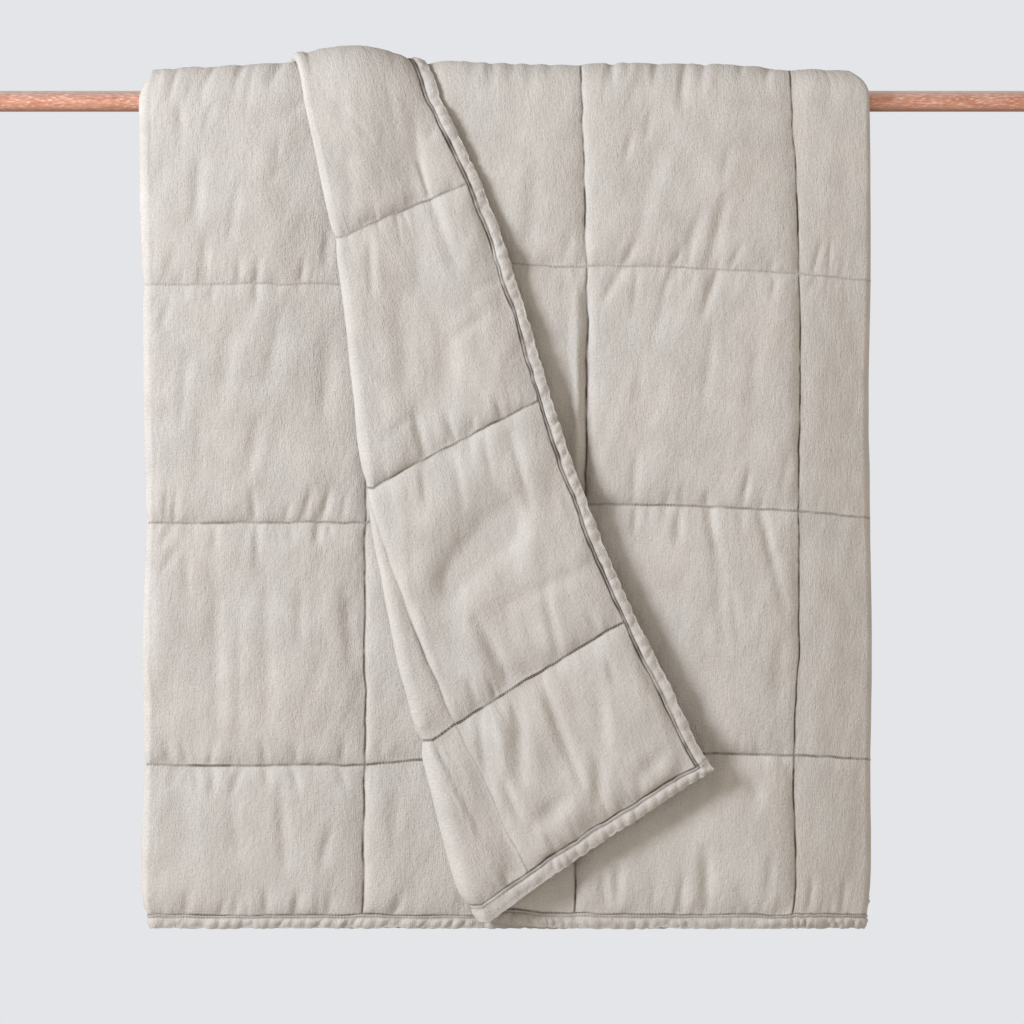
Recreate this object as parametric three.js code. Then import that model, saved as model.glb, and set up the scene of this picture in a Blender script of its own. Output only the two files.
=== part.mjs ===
// A box-stitched linen quilt hung over a round copper rod.
//
// Millimetres. X runs along the rod, Y points away from the viewer and Z up. The origin is on the rod's axis,
// midway between the folded quilt's two sides. The quilt is one sheet, folded back and forth across its width
// into three layers: the inner one lies on the rod, the middle one on that, and the front one outside. The
// front layer's lower corner is turned over along a slanting fold, and that flap makes a fourth layer.
import * as THREE from "three";

// The rod
const ROD_RADIUS = 11.1;
const ROD_HALF_LENGTH = 600;
const ROD_CHAMFER = 1;
const ROD_SIDES = 48;

// How far the quilt hangs in front and behind, and the length of a layer's way over the rod
const FRONT_DROP = 877;
const BACK_DROP = 857;
const OVER_ROD = 94;
const TOTAL_RUN = FRONT_DROP + OVER_ROD + BACK_DROP;

// The boxes of the quilting, and the turned and topstitched edge
const BOX_WIDTH = 228;
const BOX_HEIGHT = 254;
const HEM = 14;

// Half the quilt's thickness: at a seam, at a hem's edge, and at the middle of a box, hanging or on the rod
const HALF_AT_SEAM = 1.4;
const HALF_AT_EDGE = 2.3;
const HALF_AT_CROWN = 4.7;
const HALF_ON_ROD = 3.4;
const FOLD_SHARE = 0.7;

// A box rises from its seams within this share of its way across
const NEAR_SEAM = 0.07;

// Where the inner layer ends, hidden behind the others
const INNER_EDGE = 291;

// Over this distance from its fold the flap comes to lie at its own distance out, and its start at the far
// side of the fold's turn fades across its width by this power
const FLAP_SETTLE = 60;
const FOLD_FADE = 3;

// How far each hanging layer's middle stands out from the rod's upright plane, and how soon it gets there
const HANG_OUT = { inner: 9, middle: 19.5, front: 30 };
const SETTLE_DROP = 380;

// Past the edge of the inner layer the outer ones sink back, as if hinged at the right seam
const HINGE_AT = 300;
const SIDE_AT = 384;
const SINK_AT_SIDE = 12.5;

// The folded quilt seen from the front: its two sides, the seams that show, and the flap's fold. Heights are
// measured from the rod's axis.
const OUTLINE = [
  { height: -877, left: -379, right: 379, seamLeft: -156, seamMiddle: 70.5, seamRight: 299.5, fold: -27 },
  { height: -830, left: -384.5, right: 384, seamLeft: -153.5, seamMiddle: 71.5, seamRight: 304, fold: -47.5 },
  { height: -704, left: -382, right: 384.5, seamLeft: -151.5, seamMiddle: 75, seamRight: 303.5, fold: -81.5 },
  { height: -574, left: -383.5, right: 386, seamLeft: -151, seamMiddle: 79, seamRight: 308.5, fold: -116.5 },
  { height: -447, left: -379.5, right: 384, seamLeft: -150.5, seamMiddle: 82, seamRight: 307.5, fold: -143.5 },
  { height: -320, left: -382, right: 382.5, seamLeft: -151, seamMiddle: 84.5, seamRight: 310, fold: -158.5 },
  { height: -194, left: -381, right: 384.5, seamLeft: -151, seamMiddle: 83, seamRight: 308.5, fold: -173 },
  { height: -90, left: -383, right: 384, seamLeft: -151, seamMiddle: 80.5, seamRight: 305, fold: -193 },
  { height: 0, left: -385, right: 383, seamLeft: -151, seamMiddle: 77.5, seamRight: 300, fold: -213 },
];
const FOLD_OVER_ROD = -226;
const BACK_FOLD = [
  { run: 971, fold: -240 },
  { run: 1371, fold: -300 },
  { run: 1828, fold: -335 },
];

// Over the rod the sides draw in: the left one by so much, with its turn pressed to a small reach once the
// cloth is pressAt of the way up, and the right one in a round shoulder
const SHOULDER = { left: 4.5, pressedReach: 1, pressAt: 0.3, right: 18, rightRound: 3 };

// Rows of the grid, by their run up from the front edge, with the cells to the next row. stitched rows are
// seams. A row lies higher by under on the middle layer past its left seam, by side at the quilt's right side,
// by middle at the front layer's middle seam, and by fold at the flap's fold.
const ROWS = [
  { run: 0, cells: 1, under: 0, side: 0, middle: 0, fold: 7, stitched: true },
  { run: HEM, cells: 4, under: 0, side: 0, middle: 1, fold: 11.5, stitched: true },
  { run: 173, cells: 5, under: 6, side: 6, middle: 14, fold: 26.5, stitched: true },
  { run: 430, cells: 5, under: 0, side: 5, middle: 19, fold: 37, stitched: true },
  { run: 683, cells: 1, under: 0, side: 3, middle: 18, fold: 48, stitched: true },
  { run: 701, cells: 1, under: 0, side: 3, middle: 17.5, fold: 47, stitched: false },
  { run: 770, cells: 8, under: 0, side: 1, middle: 14, fold: 42, stitched: false },
  { run: FRONT_DROP, cells: 5, under: 0, side: 0, middle: 7, fold: 26, stitched: false },
  { run: 683 + BOX_HEIGHT, cells: 3, under: 0, side: 0, middle: 4, fold: 16, stitched: true },
  { run: FRONT_DROP + OVER_ROD, cells: 4, under: 0, side: 0, middle: 3, fold: 10, stitched: false },
  { run: 683 + 2 * BOX_HEIGHT, cells: 3, under: 0, side: 0, middle: 1, fold: 2, stitched: true },
  { run: 683 + 3 * BOX_HEIGHT, cells: 3, under: 0, side: 0, middle: 0, fold: 0, stitched: true },
  { run: 683 + 4 * BOX_HEIGHT, cells: 2, under: 0, side: 0, middle: 0, fold: 0, stitched: true },
  { run: TOTAL_RUN - HEM, cells: 1, under: 0, side: 0, middle: 0, fold: 0, stitched: true },
  { run: TOTAL_RUN, cells: 0, under: 0, side: 0, middle: 0, fold: 0, stitched: true },
];
const UNDER_EASE = 60;
const SIDE_EASE = 2.5;
const FOLD_EASE = 1.6;
const SEAM_RUNS = ROWS.filter((row) => row.stitched).map((row) => row.run);

// The flap, by the run at its fold: its width from the fold to the hemmed edge, the slope of its rows, the
// radius of its fold, how far out it hangs, and how much further its hemmed edge stands off
const FLAP = [
  { run: 0, width: 298, slope: 33.9, radius: 11.5, out: 53, lift: 10 },
  { run: 22, width: 293.7, slope: 31.9, radius: 11.5, out: 53, lift: 10 },
  { run: 100, width: 281.3, slope: 31.4, radius: 10.7, out: 51.3, lift: 10 },
  { run: 200, width: 259.8, slope: 30.8, radius: 9.5, out: 49, lift: 10 },
  { run: 467, width: 218, slope: 27.1, radius: 7.6, out: 45, lift: 8 },
  { run: 727, width: 165, slope: 22.9, radius: 6, out: 43, lift: 3 },
  { run: 855, width: 135, slope: 20, radius: 4.2, out: 43, lift: 0 },
  { run: 924, width: 126.5, slope: 19, radius: 3.8, out: 43, lift: 0 },
  { run: 1371, width: 84, slope: 16, radius: 5, out: 43, lift: 0 },
  { run: 1828, width: 45, slope: 12, radius: 5, out: 43, lift: 0 },
];

// How high each layer's middle lies over the rod's axis along the rod
const MIDDLE_OVER_ROD = [
  { x: -385, radius: 31 },
  { x: -316, radius: 35.5 },
  { x: -236, radius: 38 },
  { x: -183, radius: 32.5 },
  { x: -100, radius: 26.8 },
  { x: 70, radius: 26.4 },
  { x: 241, radius: 25 },
  { x: 385, radius: 23 },
];
const FRONT_OVER_ROD = [
  { x: -340, radius: 43 },
  { x: -186, radius: 43 },
  { x: -127, radius: 37 },
  { x: -96, radius: 34.8 },
  { x: -60, radius: 39 },
  { x: 70, radius: 37.4 },
  { x: 116, radius: 38.2 },
  { x: 241, radius: 36 },
  { x: 298, radius: 32 },
  { x: 335, radius: 32.4 },
  { x: 385, radius: 32 },
];
const FLAP_OVER_ROD = [
  { x: -340, radius: 54 },
  { x: -224, radius: 52 },
  { x: -186, radius: 56 },
  { x: -154, radius: 54 },
  { x: -127, radius: 49 },
  { x: -96, radius: 43.6 },
  { x: -60, radius: 47.5 },
  { x: 0, radius: 49 },
];
const INNER_RADIUS = ROD_RADIUS + 0.5 + HALF_ON_ROD;

// Cells of the grid between the marks of each stretch of the section
const INNER_CELLS = [1, 3, 3, 3];
const MIDDLE_CELLS = [4, 4, 4, 2];
const FRONT_CELLS = [2, 5, 5];
const FLAP_CELLS = [2, 5, 1];
const FOLD_CELLS = 5;

// A section point on the quilt's side edge has this in place of a share of its box
const AT_EDGE = -1;

const clamp = (value, low, high) => Math.min(high, Math.max(low, value));
const mix = (a, b, share) => a + (b - a) * share;
const smooth = (share) => share * share * (3 - 2 * share);

// A smooth curve through one column of a table: cubic stretches whose slope at a row is the line's between
// the rows beside it.
function curve(table, from, to) {
  const xs = table.map((row) => row[from]);
  const ys = table.map((row) => row[to]);
  const slopes = xs.map((_, i) => {
    const a = Math.max(i - 1, 0);
    const b = Math.min(i + 1, xs.length - 1);
    return (ys[b] - ys[a]) / (xs[b] - xs[a]);
  });
  return (x) => {
    const at = clamp(x, xs[0], xs[xs.length - 1]);
    const i = clamp(xs.findLastIndex((start) => start <= at), 0, xs.length - 2);
    const width = xs[i + 1] - xs[i];
    const t = (at - xs[i]) / width;
    const bend = t * (1 - t) * width;
    return mix(ys[i], ys[i + 1], smooth(t)) + bend * ((1 - t) * slopes[i] - t * slopes[i + 1]);
  };
}

const sideAt = {
  left: curve(OUTLINE, "height", "left"),
  right: curve(OUTLINE, "height", "right"),
  seamLeft: curve(OUTLINE, "height", "seamLeft"),
  seamMiddle: curve(OUTLINE, "height", "seamMiddle"),
  seamRight: curve(OUTLINE, "height", "seamRight"),
};
const foldAt = curve(
  [
    ...OUTLINE.map((row) => ({ run: row.height + FRONT_DROP, fold: row.fold })),
    { run: FRONT_DROP + OVER_ROD / 2, fold: FOLD_OVER_ROD },
    ...BACK_FOLD,
  ],
  "run",
  "fold",
);
const liftAt = {
  under: curve(ROWS, "run", "under"),
  side: curve(ROWS, "run", "side"),
  middle: curve(ROWS, "run", "middle"),
  fold: curve(ROWS, "run", "fold"),
};
const flapWidth = curve(FLAP, "run", "width");
const flapSlope = curve(FLAP, "run", "slope");
const flapRadius = curve(FLAP, "run", "radius");
const flapOut = curve(FLAP, "run", "out");
const flapLift = curve(FLAP, "run", "lift");
const overRod = {
  inner: () => INNER_RADIUS,
  middle: curve(MIDDLE_OVER_ROD, "x", "radius"),
  front: curve(FRONT_OVER_ROD, "x", "radius"),
  flap: curve(FLAP_OVER_ROD, "x", "radius"),
};

// The angle that a run has gone round the rod, from 0 at the front to half a turn behind
const angleAt = (run) => (clamp(run - FRONT_DROP, 0, OVER_ROD) / OVER_ROD) * Math.PI;

// The height of a run on the front, for reading the outline, with the same outline behind
function outlineHeight(run) {
  const below = Math.max(FRONT_DROP - run, run - FRONT_DROP - OVER_ROD, 0);
  return -Math.min(below, FRONT_DROP);
}

// How far a run below the rod has settled into its hang, from 0 on the rod to 1
function settled(run) {
  const below = Math.max(FRONT_DROP - run, run - FRONT_DROP - OVER_ROD, 0);
  return smooth(clamp(below / SETTLE_DROP, 0, 1));
}

// How far a layer's middle stands out from the rod's axis at a place along the rod
function standOut(layer, x, run) {
  const sink = SINK_AT_SIDE * clamp((x - HINGE_AT) / (SIDE_AT - HINGE_AT), 0, 1);
  const hung = layer === "flap" ? flapOut(run) : HANG_OUT[layer] - sink;
  return mix(overRod[layer](x), hung, settled(run));
}

// A point of the hanging cloth: up the front, round the rod and down behind, at a distance from the axis
function hang(x, run, out) {
  const angle = angleAt(run);
  const below = run < FRONT_DROP ? run - FRONT_DROP : Math.min(FRONT_DROP + OVER_ROD - run, 0);
  return new THREE.Vector3(x, -out * Math.cos(angle), out * Math.sin(angle) + below);
}

// A grid line's share of the way across a box: one line lies close to each seam, the rest evenly between
function spread(line, count) {
  if (line === 0 || count < 3) return line / count;
  return mix(NEAR_SEAM, 1 - NEAR_SEAM, (line - 1) / (count - 2));
}

// Stations between marks, each with its place and its share of the way between its two marks
function stations(marks, cells) {
  return cells.flatMap((count, box) =>
    Array.from({ length: count }, (_, line) => {
      const share = spread(line, count);
      return { at: mix(marks[box], marks[box + 1], share), box, share };
    }),
  );
}

// One cross-section of the folded quilt at a run: a list of points with the share of the way across their box
function section(run) {
  const height = outlineHeight(run);
  const angle = angleAt(run);
  const up = Math.sin(angle);
  const left = sideAt.left(height) + SHOULDER.left * up;
  const right = sideAt.right(height) - SHOULDER.right * up ** SHOULDER.rightRound;
  const lift = {
    under: liftAt.under(run),
    side: liftAt.side(run),
    middle: liftAt.middle(run),
    fold: liftAt.fold(run),
  };
  const foldRun = run + lift.fold;
  const foldX = foldAt(foldRun);
  const foldRadius = flapRadius(foldRun);
  const width = flapWidth(foldRun);
  const slope = THREE.MathUtils.degToRad(flapSlope(foldRun));
  const cos = Math.cos(slope);
  const sin = Math.sin(slope);
  const seamOnFlap = Math.max(width - BOX_WIDTH, 12);
  const foldLength = Math.PI * foldRadius;

  // The middle layer's rows rise a little past its left seam and at the right side, and the front layer's
  // from there to the fold
  const seamX = sideAt.seamMiddle(height);
  const leftSeamX = sideAt.seamLeft(height);
  const middleRun = (x) => {
    const pastSeam = smooth(clamp((x - leftSeamX) / UNDER_EASE, 0, 1));
    return run + mix(lift.under * pastSeam, lift.side, smooth(clamp(x / right, 0, 1)));
  };
  const frontRun = (x) => {
    const toSeam = clamp((right - x) / (right - seamX), 0, 1);
    const toFold = clamp((seamX - x) / (seamX - foldX), 0, 1);
    const inSight = mix(lift.side, lift.middle, 1 - (1 - toSeam) ** SIDE_EASE);
    return run + inSight + (lift.fold - lift.middle) * toFold ** FOLD_EASE;
  };
  const points = [];
  const add = (x, atRun, out, across, limit = Infinity) =>
    points.push({ position: hang(x, atRun, out), across, run, limit });

  const leftOut = [standOut("inner", left, run), standOut("middle", left, run)];
  const rightOut = [standOut("middle", right, run), standOut("front", right, run)];
  const leftRadius = (leftOut[1] - leftOut[0]) / 2;
  const rightRadius = (rightOut[1] - rightOut[0]) / 2;
  const pressed = smooth(clamp((up - SHOULDER.pressAt) / (1 - SHOULDER.pressAt), 0, 1));
  const leftReach = mix(leftRadius, SHOULDER.pressedReach, pressed);
  const panelLeft = left + (HANG_OUT.middle - HANG_OUT.inner) / 2;

  // Inner layer, from its hidden hem to the left side
  const innerMarks = [
    INNER_EDGE,
    INNER_EDGE - HEM,
    INNER_EDGE - BOX_WIDTH,
    INNER_EDGE - 2 * BOX_WIDTH,
    panelLeft,
  ];
  const innerAcross = [
    [AT_EDGE, 0],
    [0, 1],
    [0, 1],
    [0, 0.93],
  ];
  for (const { at, box, share } of stations(innerMarks, INNER_CELLS))
    add(at, run, standOut("inner", at, run), mix(...innerAcross[box], share));

  // Left side: half a turn forwards
  for (let k = 0; k < FOLD_CELLS; k++) {
    const turn = (Math.PI * k) / FOLD_CELLS;
    const out = (leftOut[0] + leftOut[1]) / 2 - leftRadius * Math.cos(turn);
    add(panelLeft - leftReach * Math.sin(turn), run, out, mix(0.93, 1, k / FOLD_CELLS), leftReach);
  }

  // Middle layer, to the right side
  const middleMarks = [
    panelLeft,
    leftSeamX,
    leftSeamX + BOX_WIDTH,
    leftSeamX + 2 * BOX_WIDTH,
    right - rightRadius,
  ];
  const middleAcross = [
    [0, 1],
    [0, 1],
    [0, 1],
    [0, 0.44],
  ];
  for (const { at, box, share } of stations(middleMarks, MIDDLE_CELLS))
    add(at, middleRun(at), standOut("middle", at, run), mix(...middleAcross[box], share));

  // Right side: half a turn forwards
  for (let k = 0; k < FOLD_CELLS; k++) {
    const turn = (Math.PI * k) / FOLD_CELLS;
    const out = (rightOut[0] + rightOut[1]) / 2 - rightRadius * Math.cos(turn);
    const x = right - rightRadius * (1 - Math.sin(turn));
    add(x, run + lift.side, out, mix(0.44, 0.53, k / FOLD_CELLS), rightRadius);
  }

  // Front layer, back to the flap's fold
  const toFold = seamX - foldX;
  const lastBox = toFold + foldLength + width - BOX_WIDTH;
  const acrossFrom = (distance) =>
    distance < lastBox ? distance / lastBox : clamp((distance - lastBox) / (BOX_WIDTH - HEM), 0, 1);
  const frontMarks = [
    right - rightRadius,
    sideAt.seamRight(height),
    seamX,
    foldX + foldRadius,
  ];
  const frontAcross = [
    [0.53, 1],
    [0, 1],
  ];
  for (const { at, box, share } of stations(frontMarks, FRONT_CELLS)) {
    const across = box < 2 ? mix(...frontAcross[box], share) : acrossFrom(frontMarks[2] - at);
    add(at, frontRun(at), standOut("front", at, frontRun(at)), across);
  }

  // The flap's fold: half a turn forwards
  const frontOut = standOut("front", foldX, foldRun);
  for (let k = 0; k < FOLD_CELLS; k++) {
    const turn = (Math.PI * k) / FOLD_CELLS;
    const out = frontOut + foldRadius * (1 - Math.cos(turn));
    const across = acrossFrom(toFold + foldLength * (k / FOLD_CELLS));
    add(foldX + foldRadius * (1 - Math.sin(turn)), foldRun, out, across, foldRadius);
  }

  // The flap, from its fold along its slanting rows to the hemmed edge
  const flapMarks = [0, seamOnFlap, width - HEM, width];
  const edge = { at: width, box: FLAP_CELLS.length };
  for (const { at, box } of [...stations(flapMarks, FLAP_CELLS), edge]) {
    const x = foldX + foldRadius * (1 - at / width) ** FOLD_FADE + at * cos;
    const atRun = foldRun + at * sin;
    const near = smooth(clamp(at / FLAP_SETTLE, 0, 1));
    const hung = mix(frontOut + 2 * foldRadius, standOut("flap", x, atRun), near);
    const out = hung + flapLift(foldRun) * (at / width) ** 2;
    add(x, atRun, out, box < FLAP_CELLS.length ? acrossFrom(toFold + foldLength + at) : AT_EDGE);
  }
  return points;
}

// A box swells from its seams to its middle
const crown = (share) => 1 - Math.abs(2 * clamp(share, 0, 1) - 1) ** 8;

// Half of the thickness at a point, from its place in its box and on the rod
function halfThickness({ across, run, limit }) {
  const row = clamp(SEAM_RUNS.findLastIndex((start) => start <= run), 0, SEAM_RUNS.length - 2);
  const up = (run - SEAM_RUNS[row]) / (SEAM_RUNS[row + 1] - SEAM_RUNS[row]);
  const full = mix(HALF_ON_ROD, HALF_AT_CROWN, settled(run));
  const atEdge = across === AT_EDGE || run === 0 || run === TOTAL_RUN;
  const half = atEdge ? HALF_AT_EDGE : mix(HALF_AT_SEAM, full, crown(across) * crown(up));
  return Math.min(half, FOLD_SHARE * limit);
}

// The closed skin of the quilt: its middle sheet pushed out both ways along its normals, joined at its edges
function quiltGeometry() {
  const runs = ROWS.flatMap((row, i) =>
    Array.from({ length: row.cells }, (_, line) => {
      const boxed = row.stitched && ROWS[i + 1].stitched;
      return mix(row.run, ROWS[i + 1].run, boxed ? spread(line, row.cells) : line / row.cells);
    }),
  );
  runs.push(TOTAL_RUN);
  const grid = runs.map(section);
  const across = grid[0].length;
  const along = grid.length;
  const at = (row, column) => grid[clamp(row, 0, along - 1)][clamp(column, 0, across - 1)].position;

  const outer = [];
  const inner = [];
  for (let row = 0; row < along; row++)
    for (let column = 0; column < across; column++) {
      const acrossWay = at(row, column + 1).clone().sub(at(row, column - 1));
      const alongWay = at(row + 1, column).clone().sub(at(row - 1, column));
      const normal = acrossWay.cross(alongWay).normalize();
      const half = halfThickness(grid[row][column]);
      outer.push(at(row, column).clone().addScaledVector(normal, half));
      inner.push(at(row, column).clone().addScaledVector(normal, -half));
    }

  const positions = [...outer, ...inner].flatMap((point) => point.toArray());
  const innerStart = outer.length;
  const faces = [];
  const quad = (a, b, c, d) => faces.push(a, b, c, a, c, d);
  for (let row = 0; row + 1 < along; row++)
    for (let column = 0; column + 1 < across; column++) {
      const a = row * across + column;
      const b = a + 1;
      const c = b + across;
      const d = a + across;
      quad(a, b, c, d);
      quad(innerStart + a, innerStart + d, innerStart + c, innerStart + b);
    }
  const closeEdge = (from, to) => quad(from, innerStart + from, innerStart + to, to);
  for (let column = 0; column + 1 < across; column++) {
    closeEdge(column, column + 1);
    closeEdge((along - 1) * across + column + 1, (along - 1) * across + column);
  }
  for (let row = 0; row + 1 < along; row++) {
    closeEdge((row + 1) * across, row * across);
    closeEdge((row + 1) * across - 1, (row + 2) * across - 1);
  }

  const geometry = new THREE.BufferGeometry();
  geometry.setAttribute("position", new THREE.Float32BufferAttribute(positions, 3));
  geometry.setIndex(faces);
  geometry.computeVertexNormals();
  return geometry;
}

// The rod is a round bar with lightly broken edges, turned about its axis and laid along X
function rodGeometry() {
  const profile = [
    [0, -ROD_HALF_LENGTH],
    [ROD_RADIUS - ROD_CHAMFER, -ROD_HALF_LENGTH],
    [ROD_RADIUS, -ROD_HALF_LENGTH + ROD_CHAMFER],
    [ROD_RADIUS, ROD_HALF_LENGTH - ROD_CHAMFER],
    [ROD_RADIUS - ROD_CHAMFER, ROD_HALF_LENGTH],
    [0, ROD_HALF_LENGTH],
  ].map(([radius, y]) => new THREE.Vector2(radius, y));
  return new THREE.LatheGeometry(profile, ROD_SIDES);
}

const linen = new THREE.MeshStandardMaterial({ color: 0xcac3bb, roughness: 0.95, metalness: 0 });
const copper = new THREE.MeshStandardMaterial({ color: 0xd58a6c, roughness: 0.35, metalness: 1 });

const quilt = new THREE.Mesh(quiltGeometry(), linen);
quilt.name = "quilt";

const rod = new THREE.Mesh(rodGeometry(), copper);
rod.name = "copper_rod";
rod.rotation.z = -Math.PI / 2;

const part = new THREE.Group();
part.add(quilt, rod);
export default part;
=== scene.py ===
"""A box-stitched linen quilt hung over a copper rod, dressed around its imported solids.

The quilt is two linen faces, back and top, sewn together in boxes, with a turned hem round them. Each face is
a surface of two parameters: the way across the cloth and the run up from its front edge. Lengths are worked
out in millimetres and put into the meshes in metres.
"""
import math

import bpy
import numpy as np
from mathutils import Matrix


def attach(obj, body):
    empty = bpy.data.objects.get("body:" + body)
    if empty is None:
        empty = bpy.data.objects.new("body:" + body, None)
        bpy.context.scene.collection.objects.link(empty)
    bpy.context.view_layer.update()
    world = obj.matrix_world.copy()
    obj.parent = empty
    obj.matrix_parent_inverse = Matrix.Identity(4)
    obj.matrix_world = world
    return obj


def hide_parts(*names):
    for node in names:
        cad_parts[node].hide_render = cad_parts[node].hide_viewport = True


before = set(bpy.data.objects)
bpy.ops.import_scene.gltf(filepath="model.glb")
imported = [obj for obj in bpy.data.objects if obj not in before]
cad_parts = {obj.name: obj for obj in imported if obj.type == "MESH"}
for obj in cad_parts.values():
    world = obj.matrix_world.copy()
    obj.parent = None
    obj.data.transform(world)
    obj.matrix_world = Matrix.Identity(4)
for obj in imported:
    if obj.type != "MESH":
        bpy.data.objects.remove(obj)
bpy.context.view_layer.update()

MM = 0.001


def table(names, *rows):
    """Named columns from rows of numbers, each column an array."""
    return dict(zip(names.split(), np.array(rows, float).T))


def mix(a, b, share):
    """a at share 0 and b at share 1, in a straight line between."""
    return a + (b - a) * share


def smooth(share):
    """From 0 to 1 with level ends: 3 s squared less 2 s cubed, held beyond both ends."""
    share = np.clip(share, 0, 1)
    return share * share * (3 - 2 * share)


def curve(rows, x_name, y_name):
    """A smooth curve through two columns, in cubic stretches. A row's slope is that of its neighbours."""
    xs, ys = rows[x_name], rows[y_name]
    before = np.maximum(np.arange(len(xs)) - 1, 0)
    after = np.minimum(np.arange(len(xs)) + 1, len(xs) - 1)
    slopes = (ys[after] - ys[before]) / (xs[after] - xs[before])

    def at(x):
        x = np.clip(x, xs[0], xs[-1])
        i = np.clip(np.searchsorted(xs, x, side="right") - 1, 0, len(xs) - 2)
        width = xs[i + 1] - xs[i]
        t = (x - xs[i]) / width
        bend = t * (1 - t) * width
        return mix(ys[i], ys[i + 1], smooth(t)) + bend * ((1 - t) * slopes[i] - t * slopes[i + 1])

    return at


# The quilt's sizes, as in its solid
FRONT_DROP = 877
BACK_DROP = 857
OVER_ROD = 94
TOTAL_RUN = FRONT_DROP + OVER_ROD + BACK_DROP
ROD_RADIUS = 11.1
BOX_WIDTH = 228
BOXES_ACROSS = 10
HEM = 14
INNER_EDGE = 291
FLAP_SETTLE = 60
SETTLE_DROP = 380

HALF_AT_SEAM = 0.7
HALF_AT_CROWN = 4.7
HALF_ON_ROD = 3.4
CROWN_IN_SIGHT = 2.6
LEAST_HALF = 0.4
FLAT_HALF = (5, 0.6)
FOLD_DRAW = 2.4
FOLD_SHARE = 0.7

# The folded quilt from in front, by height from the rod's axis: its sides, the seams that show, the fold
OUTLINE = table(
    "height left right seam_left seam_middle seam_right fold",
    (-877, -379, 379, -156, 70.5, 299.5, -27),
    (-830, -384.5, 384, -153.5, 71.5, 304, -47.5),
    (-704, -382, 384.5, -151.5, 75, 303.5, -81.5),
    (-574, -383.5, 386, -151, 79, 308.5, -116.5),
    (-447, -379.5, 384, -150.5, 82, 307.5, -143.5),
    (-320, -382, 382.5, -151, 84.5, 310, -158.5),
    (-194, -381, 384.5, -151, 83, 308.5, -173),
    (-90, -383, 384, -151, 80.5, 305, -193),
    (0, -385, 383, -151, 77.5, 300, -213),
)
SHOULDER_LEFT = 4.5
LEFT_TURN_ON_ROD = 1
SHOULDER_RIGHT = 18
UNDER_EASE = 60
FOLD_PLACES = {
    "run": np.concatenate([OUTLINE["height"] + FRONT_DROP, [FRONT_DROP + OVER_ROD / 2, 971, 1371, 1828]]),
    "fold": np.concatenate([OUTLINE["fold"], [-226, -240, -300, -335]]),
}

# The rows of stitching by their run, and how much higher each lies on the middle layer past its left seam, at
# the quilt's right side, at the middle seam of its front layer and at the flap's fold
ROWS = table(
    "run under side middle fold",
    (0, 0, 0, 0, 7),
    (HEM, 0, 0, 1, 11.5),
    (173, 6, 6, 14, 26.5),
    (430, 0, 5, 19, 37),
    (683, 0, 3, 18, 48),
    (701, 0, 3, 17.5, 47),
    (770, 0, 1, 14, 42),
    (FRONT_DROP, 0, 0, 7, 26),
    (937, 0, 0, 4, 16),
    (971, 0, 0, 3, 10),
    (1191, 0, 0, 1, 2),
    (1445, 0, 0, 0, 0),
    (1699, 0, 0, 0, 0),
    (TOTAL_RUN - HEM, 0, 0, 0, 0),
    (TOTAL_RUN, 0, 0, 0, 0),
)
ROW_SEAMS = np.array([HEM, 173, 430, 683, 937, 1191, 1445, 1699, TOTAL_RUN - HEM], float)
COLUMN_SEAMS = np.arange(BOXES_ACROSS + 1) * float(BOX_WIDTH)

# How tightly each seam is sewn down, and how dark its line looks, partly its needle holes and partly painted
# shade in its groove: the columns counted from the hidden hem, the rows from the front hem up, and the rows
# again on the flap
COLUMN_HOLD = np.array([1, 1, 1, 0.3, 1, 1, 1, 1, 1, 0.8, 1])
COLUMN_LINE = np.array([0.8, 0.8, 0.8, 0.12, 1.05, 0.8, 0.8, 1.1, 1.0, 0.3, 1.15])
ROW_HOLD = np.array([1, 1, 0.92, 0.8, 1, 1, 1, 1, 1])
ROW_LINE = np.array([1, 1.1, 0.68, 0.3, 0.6, 0.6, 0.6, 0.6, 1])
FLAP_ROW_LINE = np.array([1, 1.1, 0.75, 0.5, 0.6, 0.6, 0.6, 0.6, 1])
STITCH_PITCH = 3.2

# The flap by the run at its fold: its width, the slope of its rows in degrees, its fold's radius, how far out
# it hangs and its edge's lift
FLAP = table(
    "run width slope radius out lift",
    (0, 298, 33.9, 11.5, 53, 10),
    (22, 293.7, 31.9, 11.5, 53, 10),
    (100, 281.3, 31.4, 10.7, 51.3, 10),
    (200, 259.8, 30.8, 9.5, 49, 10),
    (467, 218, 27.1, 7.6, 45, 8),
    (727, 165, 22.9, 6, 43, 3),
    (855, 135, 20, 4.2, 43, 0),
    (924, 126.5, 19, 3.8, 43, 0),
    (1371, 84, 16, 5, 43, 0),
    (1828, 45, 12, 5, 43, 0),
)

# How high the layers lie over the rod's axis along the rod, and how far they stand out where they hang
OVER_ROD_AT = {
    "inner": table("x radius", (-400, ROD_RADIUS + 0.5 + HALF_ON_ROD), (400, ROD_RADIUS + 0.5 + HALF_ON_ROD)),
    "middle": table(
        "x radius",
        (-385, 31), (-316, 35.5), (-236, 38), (-183, 32.5), (-100, 26.8), (70, 26.4), (241, 25), (385, 23),
    ),
    "front": table(
        "x radius",
        (-340, 43), (-186, 43), (-127, 37), (-96, 34.8), (-60, 39), (70, 37.4),
        (116, 38.2), (241, 36), (298, 32), (335, 32.4), (385, 32),
    ),
    "flap": table(
        "x radius",
        (-340, 54), (-224, 52), (-186, 56), (-154, 54), (-127, 49), (-96, 43.6), (-60, 47.5), (0, 49),
    ),
}
HANG_OUT = {"inner": 9, "middle": 19.5, "front": 30}

# Past the edge of the inner layer the outer ones sink back, like a hinge at the right seam. At the side they
# sink 2 mm further than in the solid.
HINGE_AT = 300
SIDE_AT = 384
SINK_AT_SIDE = 14.5

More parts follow.
